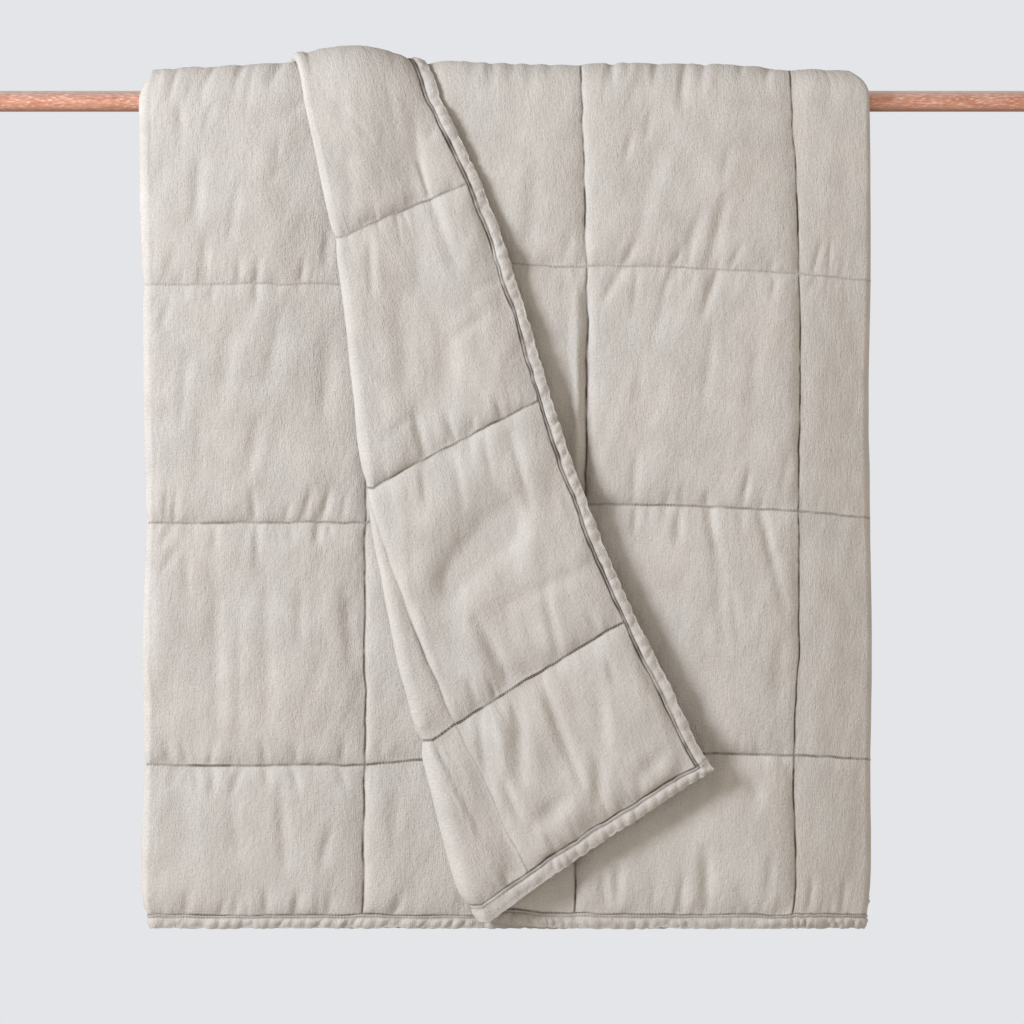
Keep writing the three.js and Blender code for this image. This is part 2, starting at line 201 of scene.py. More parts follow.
side_left = curve(OUTLINE, "height", "left")
side_right = curve(OUTLINE, "height", "right")
seam_left = curve(OUTLINE, "height", "seam_left")
seam_middle = curve(OUTLINE, "height", "seam_middle")
seam_right = curve(OUTLINE, "height", "seam_right")
fold_at = curve(FOLD_PLACES, "run", "fold")
lift_under = curve(ROWS, "run", "under")
lift_at_side = curve(ROWS, "run", "side")
lift_at_middle = curve(ROWS, "run", "middle")
lift_at_fold = curve(ROWS, "run", "fold")
flap_width = curve(FLAP, "run", "width")
flap_slope = curve(FLAP, "run", "slope")
flap_radius = curve(FLAP, "run", "radius")
flap_out = curve(FLAP, "run", "out")
flap_lift = curve(FLAP, "run", "lift")
over_rod = {layer: curve(rows, "x", "radius") for layer, rows in OVER_ROD_AT.items()}


def below_rod(run):
    """How far a run hangs below the rod, in front or behind."""
    return np.maximum(np.maximum(FRONT_DROP - run, run - FRONT_DROP - OVER_ROD), 0)


def round_rod(run):
    """The angle that a run has gone round the rod, from 0 in front to half a turn behind."""
    return np.clip(run - FRONT_DROP, 0, OVER_ROD) / OVER_ROD * math.pi


def stand_out(layer, x, run):
    """A layer's distance from the rod's axis: its height over the rod, eased into how far out it hangs."""
    sink = SINK_AT_SIDE * np.clip((x - HINGE_AT) / (SIDE_AT - HINGE_AT), 0, 1)
    hung = flap_out(run) if layer == "flap" else HANG_OUT[layer] - sink
    return mix(over_rod[layer](x), hung, smooth(below_rod(run) / SETTLE_DROP))


# Where the turns lie, in boxes across from the hidden hem's seam: the left one, the right one and the flap's
PANEL_START = 2.93
MIDDLE_END, FRONT_START = 6.44, 6.53
FRONT_END, FLAP_MIDDLE, FLAP_START = 8.8, 8.85, 8.9
SIDE_TURN = 6.485 * BOX_WIDTH
FLAP_TURN = FLAP_MIDDLE * BOX_WIDTH

# Stretches of one cross-section, in order from the hidden hem: the boxes across where each starts and ends,
# and the spacing of grid lines on the back face and on the top face, which are fine where they show
STRETCHES = {
    "inner_hem": (-HEM / BOX_WIDTH, 0, 4, 4),
    "inner_1": (0, 1, 28, 28),
    "inner_2": (1, 2, 28, 28),
    "inner_3": (2, PANEL_START, 28, 28),
    "left_turn": (PANEL_START, 3, 2, 5),
    "middle_1": (3, 4, 2.8, 28),
    "middle_2": (4, 5, 4.2, 28),
    "middle_3": (5, 6, 28, 28),
    "middle_4": (6, MIDDLE_END, 12, 28),
    "right_turn": (MIDDLE_END, FRONT_START, 6, 2.4),
    "front_1": (FRONT_START, 7, 28, 2.7),
    "front_2": (7, 8, 28, 2.7),
    "front_3": (8, FRONT_END, 28, 3.2),
    "flap_turn": (FRONT_END, FLAP_START, 1.8, 5),
    "flap_1": (FLAP_START, 9, 2.8, 6),
    "flap_2": (9, 10, 2.8, 20),
    "flap_hem": (10, 10 + HEM / BOX_WIDTH, 4, 4),
}
BODY = list(STRETCHES)[1:-1]
NEAR_SEAM = (1.2, 3, 6.5)
HIDDEN_PITCH = 15
FRONT_PITCH = 5.2
BACK_PITCH = 12
# The stretches whose length for spacing lines isn't their share of a box
GRID_LENGTH = {"flap_turn": 20, "flap_1": 40}
LEAST_FLAP_PART = 12


def lines(length, pitch, first=True, last=True):
    """Grid lines as shares of a stretch: evenly spaced, with a few more by its seams if it shows."""
    if pitch > HIDDEN_PITCH:
        return np.arange(round(length / pitch)) * pitch / length
    start = [0, *NEAR_SEAM] if first else [0]
    end = [length - gap for gap in reversed(NEAR_SEAM)] if last else []
    low, high = start[-1], end[0] if end else length
    count = max(round((high - low) / pitch), 2)
    inside = low + (high - low) * np.arange(1, count) / count
    return np.concatenate([start, inside, end]) / length


def column_lines(face):
    """The lines of every stretch of the sewn body, for the back face or the top face."""
    made = {}
    for name in BODY:
        low, high, *pitches = STRETCHES[name]
        turn = name.endswith("turn")
        length = GRID_LENGTH.get(name, (high - low) * BOX_WIDTH)
        made[name] = lines(length, pitches[face], not turn and low % 1 == 0, not turn and high % 1 == 0)
    return made


def mid_sheet(runs, shares):
    """The quilt's middle sheet on a grid of rows and columns: points, boxes across and the turn's radius.

    A point is where its layer's line across the quilt puts it: (x, out from the rod's axis) at its run.
    Layers lie flat along X, a turn is half a circle between two layers, and the flap goes back along its
    slanting rows. Up the front, round the rod and down behind, out is taken along the angle gone round.
    """
    run = np.asarray(runs, float)[:, None]
    height = -np.minimum(below_rod(run), FRONT_DROP)
    angle = round_rod(run)
    left = side_left(height) + SHOULDER_LEFT * np.sin(angle)
    right = side_right(height) - SHOULDER_RIGHT * np.abs(np.sin(angle)) ** 3
    side_lift, middle_lift, fold_lift = lift_at_side(run), lift_at_middle(run), lift_at_fold(run)
    fold_run = run + fold_lift
    fold_x, fold_radius = fold_at(fold_run), flap_radius(fold_run)
    width, slope = flap_width(fold_run), np.radians(flap_slope(fold_run))
    fold_length = math.pi * fold_radius
    left_seam, middle_seam, right_seam = seam_left(height), seam_middle(height), seam_right(height)
    to_fold = middle_seam - fold_x
    last_box = to_fold + fold_length + width - BOX_WIDTH
    left_out = stand_out("inner", left, run), stand_out("middle", left, run)
    right_out = stand_out("middle", right, run), stand_out("front", right, run)
    left_radius, right_radius = np.diff(left_out, axis=0)[0] / 2, np.diff(right_out, axis=0)[0] / 2
    left_reach = mix(left_radius, LEFT_TURN_ON_ROD, smooth((np.sin(angle) - 0.3) / 0.7))
    panel_left = left + (HANG_OUT["middle"] - HANG_OUT["inner"]) / 2
    pieces = []

    def add(x, at_run, out, box, room=np.inf):
        shape = np.broadcast_shapes(*(np.shape(a) for a in (x, at_run, out, box)))
        pieces.append([np.broadcast_to(a, shape) for a in (x, at_run, out, box, room)])

    def middle_run(x):
        past_seam = smooth((x - left_seam) / UNDER_EASE)
        return run + mix(lift_under(run) * past_seam, side_lift, smooth(x / right))

    def front_run(x):
        to_middle = np.clip((right - x) / (right - middle_seam), 0, 1)
        past_middle_seam = np.clip((middle_seam - x) / to_fold, 0, 1)
        in_sight = mix(side_lift, middle_lift, 1 - (1 - to_middle) ** 2.5)
        return run + in_sight + (fold_lift - middle_lift) * past_middle_seam**1.6

    def past_middle(distance):
        """Boxes across at a distance past the middle seam, along the front layer, the fold and the flap."""
        past = distance - last_box
        past_hem_seam = 1 + (past - BOX_WIDTH + HEM) / BOX_WIDTH
        on_flap = np.where(past < BOX_WIDTH - HEM, past / (BOX_WIDTH - HEM), past_hem_seam)
        return np.where(past < 0, 8 + distance / last_box, 9 + on_flap)

    flat = {
        "inner_hem": (INNER_EDGE, INNER_EDGE - HEM),
        "inner_1": (INNER_EDGE - HEM, INNER_EDGE - BOX_WIDTH),
        "inner_2": (INNER_EDGE - BOX_WIDTH, INNER_EDGE - 2 * BOX_WIDTH),
        "inner_3": (INNER_EDGE - 2 * BOX_WIDTH, panel_left),
        "middle_1": (panel_left, left_seam),
        "middle_2": (left_seam, left_seam + BOX_WIDTH),
        "middle_3": (left_seam + BOX_WIDTH, left_seam + 2 * BOX_WIDTH),
        "middle_4": (left_seam + 2 * BOX_WIDTH, right - right_radius),
        "front_1": (right - right_radius, right_seam),
        "front_2": (right_seam, middle_seam),
        "front_3": (middle_seam, fold_x + fold_radius),
    }
    turns = {
        "left_turn": (panel_left, -left_reach, left_radius, sum(left_out) / 2, run),
        "right_turn": (right - right_radius, right_radius, right_radius, sum(right_out) / 2, run + side_lift),
        "flap_turn": (
            fold_x + fold_radius, -fold_radius, fold_radius,
            stand_out("front", fold_x, fold_run) + fold_radius, fold_run,
        ),
    }
    on_flap = np.maximum(width - BOX_WIDTH, LEAST_FLAP_PART)
    flap_marks = {"flap_1": (0, on_flap), "flap_2": (on_flap, width - HEM), "flap_hem": (width - HEM, width)}
    for name, share in shares.items():
        share = np.asarray(share, float)[None, :]
        low, high = STRETCHES[name][:2]
        layer = name.split("_")[0]
        if name in flat:
            x = mix(*flat[name], share)
            at_run = {"inner": lambda x: run, "middle": middle_run, "front": front_run}[layer](x)
            box = past_middle(middle_seam - x) if name == "front_3" else mix(low, high, share)
            add(x, at_run, stand_out(layer, x, at_run), box)
        elif name in turns:
            start_x, reach, radius, middle_out, at_run = turns[name]
            x = start_x + reach * np.sin(math.pi * share)
            box = past_middle(to_fold + fold_length * share) if layer == "flap" else mix(low, high, share)
            add(x, at_run, middle_out - radius * np.cos(math.pi * share), box, np.abs(reach))
        else:
            at = mix(*flap_marks[name], share)
            x = fold_x + fold_radius * (1 - at / width) ** 3 + at * np.cos(slope)
            at_run = fold_run + at * np.sin(slope)
            near_fold = stand_out("front", fold_x, fold_run) + 2 * fold_radius
            hung = mix(near_fold, stand_out("flap", x, at_run), smooth(at / FLAP_SETTLE))
            out = hung + flap_lift(fold_run) * (at / width) ** 2
            add(x, at_run, out, past_middle(to_fold + fold_length + at))
    x, at_run, out, box, room = (np.concatenate(grids, axis=1) for grids in zip(*pieces))
    angle = round_rod(at_run)
    below = np.where(at_run < FRONT_DROP, at_run - FRONT_DROP, np.minimum(FRONT_DROP + OVER_ROD - at_run, 0))
    points = np.stack([x, -out * np.cos(angle), out * np.sin(angle) + below], axis=-1)
    return points, box, room


TINY = 1e-9


def ways_of(points):
    """Unit directions of a grid, as differences of neighbours: across, up, and their cross, the normal."""
    across, up = np.gradient(points, axis=1), np.gradient(points, axis=0)
    normal = np.cross(across, up)
    ways = across, up, normal
    return [way / np.maximum(np.linalg.norm(way, axis=-1, keepdims=True), TINY) for way in ways]


LATTICE = 256


def ripples(u, v, size_u, size_v, seed):
    """Smooth random heights from -1 to 1: random values on a lattice of that size, eased between them."""
    rng = np.random.default_rng(seed)
    cells = rng.uniform(-1, 1, (LATTICE + 1, LATTICE + 1))
    a, b = u / size_u + LATTICE // 4, v / size_v + LATTICE // 4
    i, j = np.floor(a).astype(int), np.floor(b).astype(int)
    s, t = smooth(a - i), smooth(b - j)
    i, j = i % LATTICE, j % LATTICE
    return mix(mix(cells[i, j], cells[i + 1, j], s), mix(cells[i, j + 1], cells[i + 1, j + 1], s), t)


def pinches(u, v, size_u, size_v, width, seed):
    """Sharp random wrinkles from 0 to 1, 1 along the lines where ripples cross nought."""
    return np.exp(-((ripples(u, v, size_u, size_v, seed) / width) ** 2))


def nearest_seam(seams, at):
    """The number of the nearest seam, and the distance to it."""
    gaps = np.abs(at[..., None] - seams)
    return np.argmin(gaps, axis=-1), np.min(gaps, axis=-1)


def rightward(u):
    """The way across, folded with the cloth so that it grows to the right on every layer that is in front."""
    past_side = np.maximum(u - SIDE_TURN, 0)
    past_fold = np.maximum(u - FLAP_TURN, 0)
    return u - 2 * past_side + 2 * past_fold


def column_gaps(u):
    """The distances to the column seams at a box's left and at its right, as seen from in front."""
    column = np.clip(np.searchsorted(COLUMN_SEAMS, u, side="right"), 1, BOXES_ACROSS)
    low, high = np.maximum(u - COLUMN_SEAMS[column - 1], 0), np.maximum(COLUMN_SEAMS[column] - u, 0)
    turned = (u > SIDE_TURN) & (u < FLAP_TURN)
    return np.where(turned, high, low), np.where(turned, low, high)


def row_gaps(v):
    """The distances to the row seams below and above, as the cloth hangs, in front or behind."""
    row = np.clip(np.searchsorted(ROW_SEAMS, v, side="right"), 1, len(ROW_SEAMS) - 1)
    down, up = np.maximum(v - ROW_SEAMS[row - 1], 0), np.maximum(ROW_SEAMS[row] - v, 0)
    in_front = v < FRONT_DROP + OVER_ROD / 2
    return np.where(in_front, down, up), np.where(in_front, up, down)


def seam_line(u, v):
    """The distance to the nearest seam, how dark its line is, fading in and out, and the place along it.

    Only the rows on the layers below the flap show their stitches one by one. Elsewhere the place is held.
    """
    # Painted shade: the line's darkness is partly its needle holes and partly shade in the seam's groove,
    # uneven along it.
    column, from_column = nearest_seam(COLUMN_SEAMS, u)
    row, from_row = nearest_seam(ROW_SEAMS, v)
    on_row = np.where(u > FLAP_TURN, FLAP_ROW_LINE[row], ROW_LINE[row])
    along = np.where(from_column < from_row, v, u)
    depth = np.where(from_column < from_row, COLUMN_LINE[column], on_row)
    uneven = 1 + 0.45 * ripples(along, depth * 50, 21, 30, 51) + 0.35 * ripples(along, depth * 50, 6, 30, 52)
    stitched = np.where((from_row < from_column) & (u < FLAP_TURN), along, STITCH_PITCH / 4)
    return np.minimum(from_column, from_row), depth * uneven, stitched


def seam_sway(u, v):
    """How far the sewing pulls the cloth aside near its seams: across at a column and up at a row."""
    side = 1.3 * ripples(v, u, 31, 300, 41) + 0.7 * ripples(v, u, 11, 300, 42)
    rise = 1.1 * ripples(u, v, 33, 300, 43) + 0.8 * ripples(u, v, 10, 300, 44)
    column, from_column = nearest_seam(COLUMN_SEAMS, u)
    row, from_row = nearest_seam(ROW_SEAMS, v)
    on_flap = smooth((u - FLAP_TURN) / 30)
    side = side + (column == BOXES_ACROSS) * 1.5 * ripples(v, u, 44, 300, 45)
    rise = rise + (row == 0) * on_flap * 2 * ripples(u, v, 40, 300, 46)
    return side * np.exp(-from_column / 8), rise * np.exp(-from_row / 8)


def swayed(points, u, v):
    """The grid with its seams swayed, and its new normals."""
    across, up, _ = ways_of(points)
    side, rise = seam_sway(u, v)
    points = points + across * side[..., None] + up * rise[..., None]
    return points, ways_of(points)[2]


# Soft folds and wrinkles on what shows in front, by layer, placed one by one as they were read off the
# photograph. Each runs from x0, z0 to x1, z1, in millimetres from the rod's middle, with its half width and
# its height, which is below nought for a trough.
FRONT_CREASES = {
    "middle": table(
        "x0 z0 x1 z1 half_width height",
        (-349, 33, -358, 3, 3, -2.2),
        (-309, 37, -321, 15, 3.2, -2.2),
        (-278, 37, -288, 22, 3, -1.6),
        (-240, 35, -252, 19, 4.5, -3),
        (-370, 31, -372, 3, 2.5, -1.2),
        (-333, 20, -339, 4, 3.5, -1.4),
        (-347, -4, -345, -42, 5, -1.4),
        (-312, -4, -320, -29, 3.5, -1.2),
        (-326, -68, -330, -124, 7, -2),
        (-241, -39, -245, -65, 4, -1.2),
        (-238, -68, -251, -86, 4, -1.2),
        (-286, -95, -293, -143, 5, -1.2),
        (-319, -148, -320, -192, 5, -1.6),
        (-284, -171, -285, -193, 3, -1.8),
        (-264, -171, -266, -211, 4, -2),
        (-352, -160, -362, -192, 6, -1.4),
        (-216, -171, -220, -201, 3.5, -2),
        (-190, -142, -193, -171, 5, -1.8),
        (-310, -195, -314, -210, 3, -1.4),
        (-357, -211, -368, -243, 5, -1.2),
        (-339, -264, -346, -338, 6, -1.2),
        (-292, -243, -303, -317, 9, -1.4),
        (-239, -222, -254, -296, 8, -1.2),
        (-188, -254, -195, -338, 9, -1.6),
        (-264, -338, -273, -402, 7, -1.2),
        (-326, -349, -328, -402, 6, -1),
        (-360, -415, -363, -444, 3.4, -2.2),
        (-351, -413, -354, -445, 4, -2.2),
        (-271, -415, -267, -444, 3.4, -2),
        (-231, -427, -233, -444, 3, -1.6),
        (-208, -413, -216, -444, 3.6, -2.4),
        (-189, -415, -197, -444, 3.6, -2.6),
        (-171, -421, -175, -442, 3, -1.4),
        (-356, -452, -368, -471, 3, -1.8),
        (-347, -471, -370, -504, 4, -1.5),
        (-309, -451, -311, -473, 4, -1.6),
        (-264, -451, -266, -489, 4.4, -1.9),
        (-202, -451, -202, -467, 3.2, -2),
        (-189, -450, -188, -460, 3.2, -2.2),
        (-229, -450, -229, -467, 3.6, -1.4),
        (-341, -481, -340, -521, 5, -1.1),
        (-310, -487, -307, -678, 8, -1.3),
        (-284, -540, -285, -678, 6, -0.9),
        (-257, -487, -254, -656, 8, -1.2),
        (-220, -513, -219, -577, 6, -1.1),
        (-172, -519, -165, -595, 7, -1.6),
        (-363, -682, -356, -701, 5, -1.8),
        (-344, -683, -341, -700, 4, -1.8),
        (-260, -682, -256, -701, 4, -2.2),
        (-225, -686, -222, -702, 3.6, -2.2),
        (-174, -683, -175, -701, 3.6, -1.8),
        (-351, -707, -356, -727, 5, -1.8),
        (-333, -707, -328, -726, 3.2, -1.7),
        (-311, -707, -312, -732, 3.6, -2),
        (-282, -707, -292, -733, 4, -2.4),
        (-258, -707, -254, -724, 4, -2),
        (-229, -707, -222, -727, 4, -2.6),
        (-180, -707, -171, -724, 3.6, -2),
        (-292, -741, -286, -794, 8, -1.2),
        (-240, -733, -236, -807, 7, -2),
        (-188, -773, -197, -807, 5, -1.6),
        (-339, -843, -341, -859, 5, -1.8),
        (-284, -843, -288, -859, 5, -1.4),
        (-256, -837, -254, -859, 5, -1.8),
        (-221, -841, -226, -860, 4, -2),
        (-188, -845, -190, -860, 4, -1.6),
        (-135, -683, -135, -696, 4, -1.6),
        (-119, -741, -121, -796, 7, -1.4),
        (-112, -839, -119, -860, 4, -2),
    ),
    "front": table(
        "x0 z0 x1 z1 half_width height",
        (-17, 41, -16, 5, 3.4, -2.2),
        (-34, 40, -37, 26, 3.4, -1.6),
        (5, 41, 3, 25, 3.4, -1.6),
        (26, 39, 24, 9, 6, -2.2),
        (46, 40, 45, 28, 3.4, -1.4),
        (67, -143, 61, -171, 4, -2.4),
        (60, -177, 64, -203, 4, -1.8),
        (27, -52, 24, -163, 7, -1),
        (74, -207, 75, -400, 5, 4.2),
        (84, -211, 85, -391, 4.4, -2),
        (112, 40, 110, 19, 4, -2.6),
        (128, 40, 127, 26, 3.4, -1.4),
        (158, 40, 155, 22, 4.4, -2.2),
        (187, 35, 185, -6, 6, -2.2),
        (209, 37, 207, 18, 3.4, -1.8),
        (249, 37, 246, 24, 4, -1.4),
        (276, 35, 275, 24, 4, -1.2),
        (132, -39, 125, -59, 4, -1.8),
        (151, -18, 147, -40, 3.4, -1.3),
        (158, -61, 136, -156, 9, -1.5),
        (134, -152, 123, -175, 4, -2.4),
        (184, -156, 173, -179, 3.4, -2),
        (204, -121, 187, -167, 6, -1.7),
        (235, -50, 227, -86, 5, -1.2),
        (231, -103, 213, -175, 6, -2.2),
        (248, -152, 236, -177, 3.6, -2.2),
        (281, -169, 278, -186, 3.2, -1.8),
        (121, -179, 102, -211, 3.8, -2.2),
        (137, -179, 134, -213, 4, -1.5),
        (175, -181, 164, -207, 3.6, -1.9),
        (199, -179, 191, -202, 3.6, -1.7),
        (222, -181, 208, -224, 4.6, -2.4),
        (284, -187, 280, -207, 3.2, -2),
        (217, -248, 208, -319, 6, -1.4),
        (166, -211, 155, -254, 6, -1.2),
        (142, -269, 137, -319, 6, -1),
        (264, -254, 259, -317, 7, -1),
        (137, -372, 133, -425, 5, -1.6),
        (186, -406, 183, -425, 4, -1.8),
        (213, -415, 208, -430, 3.4, -2),
        (256, -393, 248, -427, 3.4, -2.6),
        (299, -375, 290, -415, 5, -1.4),
        (136, -432, 134, -457, 4, -2.4),
        (182, -434, 180, -468, 5, -2.2),
        (213, -432, 220, -474, 5, -2.6),
        (221, -474, 229, -572, 8, -1.8),
        (237, -516, 244, -568, 5, -1.5),
        (244, -432, 248, -446, 3.6, -1.6),
        (268, -434, 281, -489, 5, -3),
        (281, -489, 295, -542, 6, -1.6),
        (289, -572, 287, -635, 8, -1.2),
        (252, -714, 266, -739, 4, -1.6),
        (291, -699, 304, -719, 4, -1.9),
        (210, -796, 211, -856, 7, -3.4),
        (186, -824, 183, -859, 4.4, -2.3),
        (156, -834, 153, -857, 4, -1.6),
        (116, -811, 118, -849, 5, -2.2),
        (99, -813, 104, -852, 5, -1.7),
        (244, -834, 255, -855, 4, -1.6),
        (280, -803, 276, -839, 4.4, -1.5),
        (333, -150, 323, -181, 3.2, -1.5),
        (342, -152, 340, -173, 3, -1.2),
        (329, -188, 316, -204, 3.2, -1.5),
        (329, -435, 331, -449, 3.4, -1.5),
        (323, -824, 319, -859, 4, -1.6),
        (357, -830, 355, -860, 4, -1.4),
    ),
    "flap": table(
        "x0 z0 x1 z1 half_width height",
        (-197, 9, -171, -12, 2.6, -1),
        (-171, -12, -144, -42, 2.6, -1),
        (-127, 18, -117, -44, 6, -1.1),
        (-70, -18, -81, -37, 4, -1.6),
        (-99, -20, -93, -68, 6, -1.2),
        (-93, -68, -84, -97, 3.4, -2.2),
        (-173, -31, -161, -105, 9, -1),
        (-80, -105, -57, -173, 7, -2.4),
        (-146, -145, -144, -203, 5, -1.6),
        (-65, -239, -61, -319, 12, -1.8),
        (-23, -226, -59, -254, 5, -1.8),
        (-10, -190, -36, -203, 4, -1.4),
        (20, -258, -3, -277, 3, -1.1),
        (-101, -334, -131, -360, 3.4, -1.5),
        (-97, -336, -87, -377, 5, -2.8),
        (-65, -336, -55, -361, 4, -2.2),
        (-36, -338, -36, -353, 3.4, -1.6),
        (-12, -319, -4, -336, 4, -2.2),
        (-116, -211, -110, -317, 9, -1.2),
        (-93, -383, -86, -425, 4.4, -1.6),
        (-59, -366, -47, -427, 5, -1.6),
        (-25, -355, -16, -402, 4, -1.4),
        (5, -355, 25, -432, 6, -2.3),
        (15, -426, -40, -487, 24, -4),
        (-40, -487, -76, -531, 22, -4),
        (-52, -419, -118, -474, 20, 1.8),
        (100, -487, -3, -536, 8, -1.8),
        (40, -519, 54, -587, 6, -2.4),
        (-31, -552, 5, -618, 8, -3.4),
        (-40, -616, -32, -642, 5, -2.2),
        (87, -544, 95, -559, 4, -1.8),
        (-76, -572, -63, -625, 8, -1.4),
        (-31, -648, -23, -716, 5, -2.2),
        (12, -637, 14, -718, 9, -3.8),
        (34, -612, 78, -724, 6, -2.8),
        (-11, -648, -3, -711, 6, 1.8),
        (-3, -724, 13, -760, 5, -2.4),
        (30, -767, 65, -737, 10, -3.2),
        (97, -741, 98, -701, 8, -2.8),
        (140, -718, 168, -688, 8, -3),
        (121, -735, 131, -754, 4, -2.2),
        (98, -620, 103, -680, 8, -2),
        (107, -593, 113, -618, 4.4, -2),
        (145, -597, 157, -627, 5, -1.8),
        (41, -778, 60, -801, 4, -1.6),
        (-72, -680, -50, -741, 10, -1),
        (-23, -781, -8, -826, 6, -1),
    ),
}
LAYER_BOXES = {"middle": (3, MIDDLE_END), "front": (FRONT_START, FRONT_END), "flap": (FLAP_START, 11)}
WIDE_FOLD = 22


def front_creases(points, box, runs):
    """The placed folds, each a bell over its line: exp of minus the distance over its half width, squared.

    It is highest at the middle of its line. A wide one stands higher than its row says: 1 + half width / 22
    times as high.
    """
    x, z = points[..., 0], points[..., 2]
    total = np.zeros(box.shape)
    for layer, rows in FRONT_CREASES.items():
        low, high = LAYER_BOXES[layer]
        here = (box >= low) & (box <= high) & (runs < FRONT_DROP + OVER_ROD / 2)
        for x0, z0, x1, z1, half_width, height in zip(*rows.values()):
            length = math.hypot(x1 - x0, z1 - z0)
            share = ((x - x0) * (x1 - x0) + (z - z0) * (z1 - z0)) / length**2
            aside = ((x - x0) * (z1 - z0) - (z - z0) * (x1 - x0)) / length
            past = np.maximum(np.maximum(-share, share - 1), 0) * length
            bell = np.exp(-(aside**2 + past**2) / half_width**2)
            swell = 0.55 + 0.45 * np.sin(math.pi * np.clip(share, 0, 1))
            total += here * height * (1 + half_width / WIDE_FOLD) * bell * swell
    return total


# How far from a seam the face has risen most of the way to the crown, by which side of it the face is on, and
# from how close the relief starts
RISE = {"at left": 4.5, "at right": 13, "past right seam": 30, "above row": 9, "below row": 13}
START_AT_COLUMN = 3
START_AT_ROW = 2.5
CLEAR_OF_FOLD = 30
CLEAR_EASE = 40
CROWN_DROP = 120
PINCH_REACH = {"row": 13, "column": 10, "gathers": 18}
ON_ROD_RUN = FRONT_DROP + 22
DRAWN_REACH = 18


def face_height(points, box, v, room, face):
    """How far a face stands off the middle sheet.

    Seams hold it down. It rises from them to the box's crown as 1 - exp(-distance / reach): at once where the
    box faces left and slowly where it faces right, sooner above a row than below one, because the wadding
    settles, and less on the rod. Pinches run square to each seam and die away from it, soft waves and
    crumples cross the boxes aslant, leaning to the right as they rise, and the placed folds lie on top. Past
    the right seam the cloth lies flat and turns away, and beside its fold the flap is drawn in.
    """
    u = box * BOX_WIDTH
    across = rightward(u)
    seed = 100 * face
    hung = smooth(below_rod(v) / SETTLE_DROP)
    column, from_column = nearest_seam(COLUMN_SEAMS, u)
    row, from_row = nearest_seam(ROW_SEAMS, v)
    at_left, at_right = column_gaps(u)
    above_seam, below_seam = row_gaps(v)
    past_right_seam = (face == 1) * (box > MIDDLE_END) * (box < 7)
    in_sight = (u > 8 * BOX_WIDTH * (face == 0)) * (u > 7 * BOX_WIDTH * (face == 1))
    left_of_fold = smooth((fold_at(v) - CLEAR_OF_FOLD - points[..., 0]) / CLEAR_EASE)
    clear = np.maximum(in_sight, (face == 0) * left_of_fold)
    full = mix(HALF_ON_ROD, HALF_AT_CROWN, hung) + CROWN_IN_SIGHT * clear * smooth(below_rod(v) / CROWN_DROP)
    to_side = (7 - box) / (7 - FRONT_START)
    full = mix(full, mix(*FLAT_HALF, np.clip(to_side, 0, 1)), past_right_seam)
    hold_across, hold_up = COLUMN_HOLD[column], ROW_HOLD[row]
    left_rise = mix(RISE["at left"], RISE["past right seam"], past_right_seam)
    rise = 1 - hold_across * np.exp(-at_left / left_rise)
    rise = rise * (1 - hold_across * np.exp(-at_right / RISE["at right"]))
    rise = rise * (1 - hold_up * np.exp(-above_seam / RISE["above row"]))
    rise = rise * (1 - hold_up * np.exp(-below_seam / RISE["below row"]))
    start = (1 - np.exp(-from_column / START_AT_COLUMN)) * (1 - np.exp(-from_row / START_AT_ROW))

    patchy = smooth(0.5 + 0.9 * ripples(u, v, 45, 60, seed + 1))
    row_pinches = pinches(across - 0.12 * v, v, 15, 70, 0.2, seed + 2)
    row_pinches = row_pinches + 0.7 * pinches(across - 0.3 * v, v, 19, 60, 0.2, seed + 3)
    column_pinches = pinches(v - 0.3 * across, u, 17, 60, 0.22, seed + 4)
    pulls = row_pinches * np.exp(-from_row / PINCH_REACH["row"]) * (0.3 + patchy)
    pulls = pulls + 0.4 * column_pinches * np.exp(-from_column / PINCH_REACH["column"]) * patchy
    gathers = ripples(across, v, 13, 60, seed + 5) * np.exp(-from_row / PINCH_REACH["gathers"])
    on_rod = pinches(across - 0.15 * v, v, 26, 60, 0.16, seed + 6) * np.exp(-(((v - ON_ROD_RUN) / 32) ** 2))
    waves = ripples(across - 0.22 * v, v, 30, 130, seed + 7)
    crumples = ripples(across - 0.35 * v, v + 0.2 * across, 13, 40, seed + 8)
    lumps = ripples(u, v, 70, 80, seed + 9)
    relief = 0.8 * waves + 0.4 * crumples + 1.3 * lumps + 0.9 * gathers - 1.9 * pulls - 1.2 * on_rod
    relief = 1.15 * relief * (1 - 0.5 * past_right_seam)
    on_flap = box > FLAP_MIDDLE
    slack = on_flap * smooth((210 - v) / 40)
    relief = relief * mix(1, 1.35, on_flap) + 4 * slack * ripples(u, v, 42, 46, seed + 10)
    relief = relief + 2 * on_flap * smooth((560 - v) / 80) * ripples(u - 0.5 * v, v, 34, 60, seed + 11)
    folds = front_creases(points, box, v)
    fold_x = fold_at(FRONT_DROP + np.minimum(points[..., 2], 0))
    past_fold = np.maximum(points[..., 0] - fold_x, 0)
    drawn_in = FOLD_DRAW * (face == 0) * (box > FRONT_END) * np.exp(-past_fold / DRAWN_REACH)
    height = HALF_AT_SEAM + rise * (full - HALF_AT_SEAM) + start * (relief + folds) - drawn_in
    return np.minimum(np.maximum(height, LEAST_HALF), FOLD_SHARE * room)


